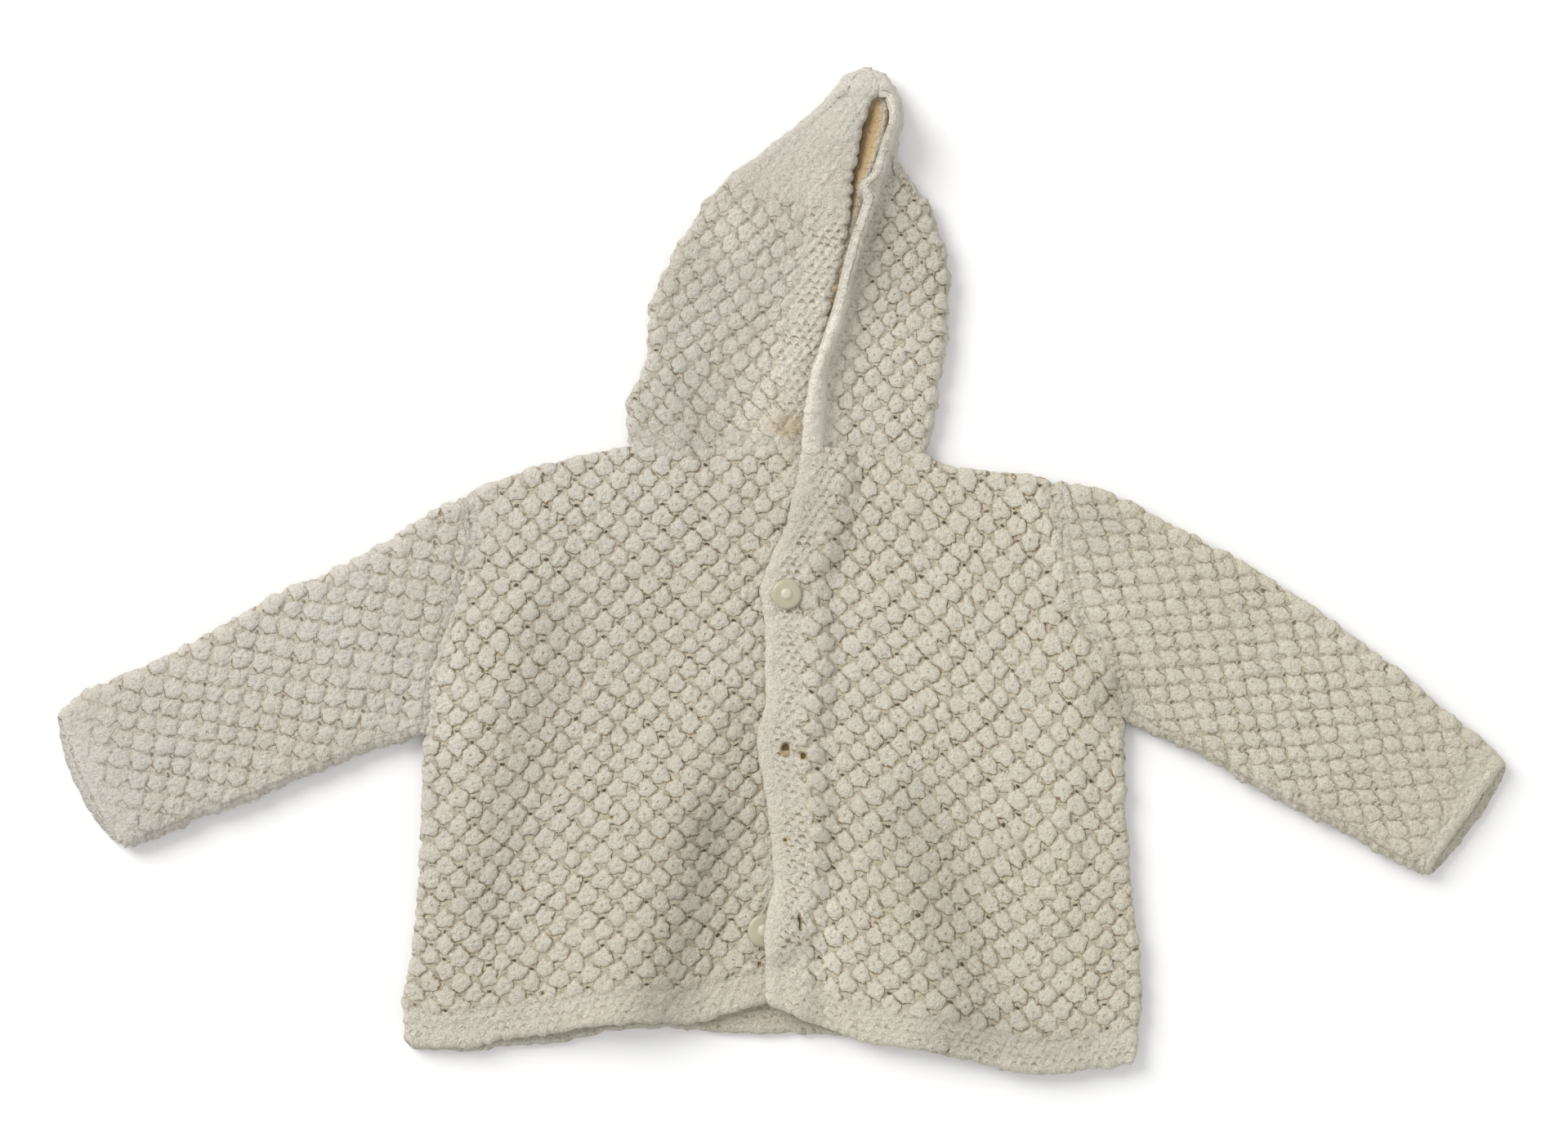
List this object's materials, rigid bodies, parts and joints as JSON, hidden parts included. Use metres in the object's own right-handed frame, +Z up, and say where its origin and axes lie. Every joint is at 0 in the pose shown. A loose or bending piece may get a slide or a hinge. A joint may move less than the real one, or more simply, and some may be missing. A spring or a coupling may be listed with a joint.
{
  "type": "hooded baby cardigan",
  "caption": "Hand-knitted hooded cardigan for a baby, lying flat with its front lapped and buttoned, sleeves spread and hood open at the face.",
  "frame": {"origin": "on the surface the garment lies on, under the middle of its outline", "axes": "+Z up out of the front, +Y towards the hood, +X towards the wearer's left"},
  "size_m": [0.5685, 0.3945, 0.0199],
  "materials": {
    "wool": "matte thick knitted wool, cream, slightly felted and fuzzy",
    "button": "pale yellowish cream moulded plastic, satin gloss"
  },
  "bodies": {
    "root": {"back": "wool", "front_right": "wool", "front_left": "wool", "sleeve_right": "wool", "sleeve_left": "wool", "hood": "wool", "button_top": "button", "button_low": "button"}
  },
  "joints": []
}
